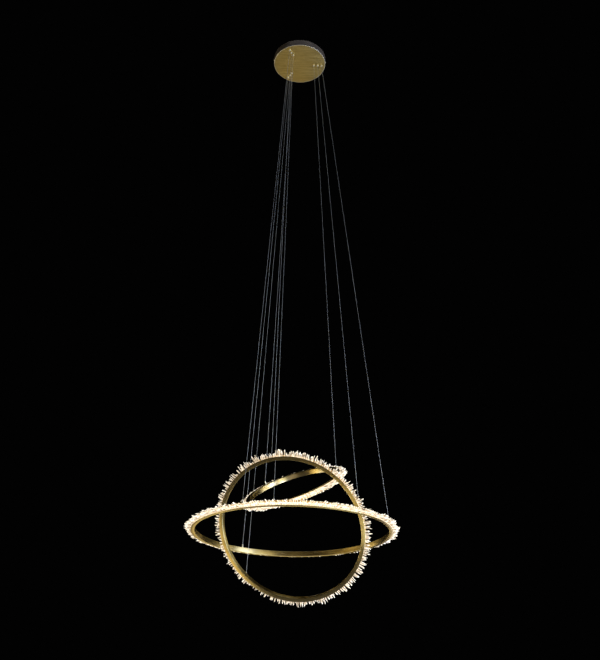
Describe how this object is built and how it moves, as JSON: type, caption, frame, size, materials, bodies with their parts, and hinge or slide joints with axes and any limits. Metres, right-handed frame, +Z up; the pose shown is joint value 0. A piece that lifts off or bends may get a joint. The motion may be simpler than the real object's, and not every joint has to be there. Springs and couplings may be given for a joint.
{
  "type": "orb chandelier",
  "caption": "Chandelier of nested brass rings edged with lit quartz points, each ring hung on taut steel wires from a round ceiling canopy.",
  "frame": {"origin": "centre of the ceiling bracket's two bolt holes, on the ceiling plane", "axes": "+Z up into the ceiling, -Y toward the front of the orb, +X along the bracket bar and toward the right-hand row of wires"},
  "size_m": [0.8568, 0.8607, 2.7831],
  "materials": {
    "steel": "zinc plated, satin",
    "canopy_brass": "brushed, satin",
    "brushed_brass": "finely brushed, satin",
    "polished_brass": "polished",
    "nickel": "satin nickel",
    "wire": "fine stranded",
    "quartz": "clear to cloudy, natural faces",
    "circuit_board": "white lacquer",
    "driver_case": "matt",
    "terminal_plastic": "moulded",
    "lead_sleeve": "silicone",
    "insulator": "moulded"
  },
  "bodies": {
    "canopy": {"ceiling_bracket": "steel", "canopy_cover": "canopy_brass", "side_screws": "polished_brass", "driver": "driver_case", "terminal_block": "terminal_plastic", "ring_leads": "lead_sleeve", "row_insulators": "insulator", "grip_strips": "steel", "grip_bodies": "polished_brass"},
    "large_front_release": {"large_front_release_sleeve": "nickel", "large_front_jaws": "steel"},
    "large_back_release": {"large_back_release_sleeve": "nickel", "large_back_jaws": "steel"},
    "large_right_release": {"large_right_release_sleeve": "nickel", "large_right_jaws": "steel"},
    "middle_front_release": {"middle_front_release_sleeve": "nickel", "middle_front_jaws": "steel"},
    "middle_back_release": {"middle_back_release_sleeve": "nickel", "middle_back_jaws": "steel"},
    "middle_right_release": {"middle_right_release_sleeve": "nickel", "middle_right_jaws": "steel"},
    "small_front_release": {"small_front_release_sleeve": "nickel", "small_front_jaws": "steel"},
    "small_back_release": {"small_back_release_sleeve": "nickel", "small_back_jaws": "steel"},
    "small_right_release": {"small_right_release_sleeve": "nickel", "small_right_jaws": "steel"},
    "large_front_wire": {"large_front_wire": "wire"},
    "large_back_wire": {"large_back_wire": "wire"},
    "large_right_wire": {"large_right_wire": "wire"},
    "large_ring": {"large_ring_channel": "brushed_brass", "large_ring_splice_plate": "steel", "large_ring_light_boards": "circuit_board", "large_ring_quartz_points": "quartz", "large_ring_studs": "polished_brass"},
    "middle_front_wire": {"middle_front_wire": "wire"},
    "middle_back_wire": {"middle_back_wire": "wire"},
    "middle_right_wire": {"middle_right_wire": "wire"},
    "middle_ring": {"middle_ring_channel": "brushed_brass", "middle_ring_splice_plate": "steel", "middle_ring_light_boards": "circuit_board", "middle_ring_quartz_points": "quartz", "middle_ring_studs": "polished_brass"},
    "small_front_wire": {"small_front_wire": "wire"},
    "small_back_wire": {"small_back_wire": "wire"},
    "small_right_wire": {"small_right_wire": "wire"},
    "small_ring": {"small_ring_channel": "brushed_brass", "small_ring_splice_plate": "steel", "small_ring_light_boards": "circuit_board", "small_ring_quartz_points": "quartz", "small_ring_studs": "polished_brass"}
  },
  "joints": [
    {"name": "large_right_wire_swing", "type": "hinge", "parent": "canopy", "child": "large_right_wire", "pos_m": [0.115, 0, -0.0387], "axis": [0, -1, 0], "range_deg": [-3.5, 3.5]},
    {"name": "large_front_release_push", "type": "slide", "parent": "canopy", "child": "large_front_release", "axis": [0, 0, 1], "range_m": [0, 0.0018], "stiffness_N_per_m": 400, "springref_m": -0.0005},
    {"name": "large_back_release_push", "type": "slide", "parent": "canopy", "child": "large_back_release", "axis": [0, 0, 1], "range_m": [0, 0.0018], "stiffness_N_per_m": 400, "springref_m": -0.0005},
    {"name": "large_right_release_push", "type": "slide", "parent": "canopy", "child": "large_right_release", "axis": [0, 0, 1], "range_m": [0, 0.0018], "stiffness_N_per_m": 400, "springref_m": -0.0005},
    {"name": "middle_front_release_push", "type": "slide", "parent": "canopy", "child": "middle_front_release", "axis": [0, 0, 1], "range_m": [0, 0.0018], "stiffness_N_per_m": 400, "springref_m": -0.0005},
    {"name": "middle_back_release_push", "type": "slide", "parent": "canopy", "child": "middle_back_release", "axis": [0, 0, 1], "range_m": [0, 0.0018], "stiffness_N_per_m": 400, "springref_m": -0.0005},
    {"name": "middle_right_release_push", "type": "slide", "parent": "canopy", "child": "middle_right_release", "axis": [0, 0, 1], "range_m": [0, 0.0018], "stiffness_N_per_m": 400, "springref_m": -0.0005},
    {"name": "small_front_release_push", "type": "slide", "parent": "canopy", "child": "small_front_release", "axis": [0, 0, 1], "range_m": [0, 0.0018], "stiffness_N_per_m": 400, "springref_m": -0.0005},
    {"name": "small_back_release_push", "type": "slide", "parent": "canopy", "child": "small_back_release", "axis": [0, 0, 1], "range_m": [0, 0.0018], "stiffness_N_per_m": 400, "springref_m": -0.0005},
    {"name": "small_right_release_push", "type": "slide", "parent": "canopy", "child": "small_right_release", "axis": [0, 0, 1], "range_m": [0, 0.0018], "stiffness_N_per_m": 400, "springref_m": -0.0005},
    {"name": "large_front_wire_swing", "type": "hinge", "parent": "canopy", "child": "large_front_wire", "pos_m": [-0.0575, -0.09959, -0.0387], "axis": [0.0055, -0.9953, 0.097], "range_deg": [-3.6, 3.6]},
    {"name": "large_back_wire_swing", "type": "hinge", "parent": "canopy", "child": "large_back_wire", "pos_m": [-0.0575, 0.09959, -0.0387], "axis": [-0.0055, -0.9953, -0.097], "range_deg": [-3.6, 3.6]},
    {"name": "large_ring_pivot", "type": "hinge", "parent": "large_right_wire", "child": "large_ring", "pos_m": [0.3925, 0, -2.496], "axis": [0, 1, 0], "range_deg": [-1.2, 1.2]},
    {"name": "middle_front_wire_swing", "type": "hinge", "parent": "canopy", "child": "middle_front_wire", "pos_m": [-0.0475, -0.08227, -0.0387], "axis": [0.0093, -0.9997, 0.0209], "range_deg": [-3.8, 3.8]},
    {"name": "middle_back_wire_swing", "type": "hinge", "parent": "canopy", "child": "middle_back_wire", "pos_m": [-0.0475, 0.08227, -0.0387], "axis": [-0.0062, -0.9991, -0.0409], "range_deg": [-3.6, 3.6]},
    {"name": "middle_right_wire_swing", "type": "hinge", "parent": "canopy", "child": "middle_right_wire", "pos_m": [0.095, 0, -0.0387], "axis": [-0.0034, -0.9999, 0.0118], "range_deg": [-3.6, 3.6]},
    {"name": "middle_ring_pivot", "type": "hinge", "parent": "middle_right_wire", "child": "middle_ring", "pos_m": [0.27828, -0.03072, -2.59332], "axis": [-0.2167, 0.9757, -0.0323], "range_deg": [-1.4, 1.4]},
    {"name": "small_front_wire_swing", "type": "hinge", "parent": "canopy", "child": "small_front_wire", "pos_m": [-0.0375, -0.06495, -0.0387], "axis": [-0.0014, -0.9995, 0.0328], "range_deg": [-3.9, 3.9]},
    {"name": "small_back_wire_swing", "type": "hinge", "parent": "canopy", "child": "small_back_wire", "pos_m": [-0.0375, 0.06495, -0.0387], "axis": [0.0003, -0.9993, -0.0368], "range_deg": [-4, 4]},
    {"name": "small_right_wire_swing", "type": "hinge", "parent": "canopy", "child": "small_right_wire", "pos_m": [0.075, 0, -0.0387], "axis": [0.0014, -0.9999, 0.0108], "range_deg": [-4, 4]},
    {"name": "small_ring_pivot", "type": "hinge", "parent": "small_right_wire", "child": "small_ring", "pos_m": [0.17518, -0.02368, -2.25332], "axis": [-0.1193, 0.9925, -0.0251], "range_deg": [-1.8, 1.8]}
  ],
  "couplings": [
    {"joint": "large_front_wire_swing", "follows": "large_right_wire_swing", "ratio": 0.99527},
    {"joint": "large_back_wire_swing", "follows": "large_right_wire_swing", "ratio": 0.99527},
    {"joint": "large_ring_pivot", "follows": "large_right_wire_swing", "ratio": 0.29299},
    {"joint": "middle_front_wire_swing", "follows": "large_right_wire_swing", "ratio": 1.0406},
    {"joint": "middle_back_wire_swing", "follows": "large_right_wire_swing", "ratio": 0.98038},
    {"joint": "middle_right_wire_swing", "follows": "large_right_wire_swing", "ratio": 0.98826},
    {"joint": "middle_ring_pivot", "follows": "large_right_wire_swing", "ratio": 0.35995},
    {"joint": "small_front_wire_swing", "follows": "large_right_wire_swing", "ratio": 1.0575},
    {"joint": "small_back_wire_swing", "follows": "large_right_wire_swing", "ratio": 1.0881},
    {"joint": "small_right_wire_swing", "follows": "large_right_wire_swing", "ratio": 1.0929},
    {"joint": "small_ring_pivot", "follows": "large_right_wire_swing", "ratio": 0.46808}
  ]
}
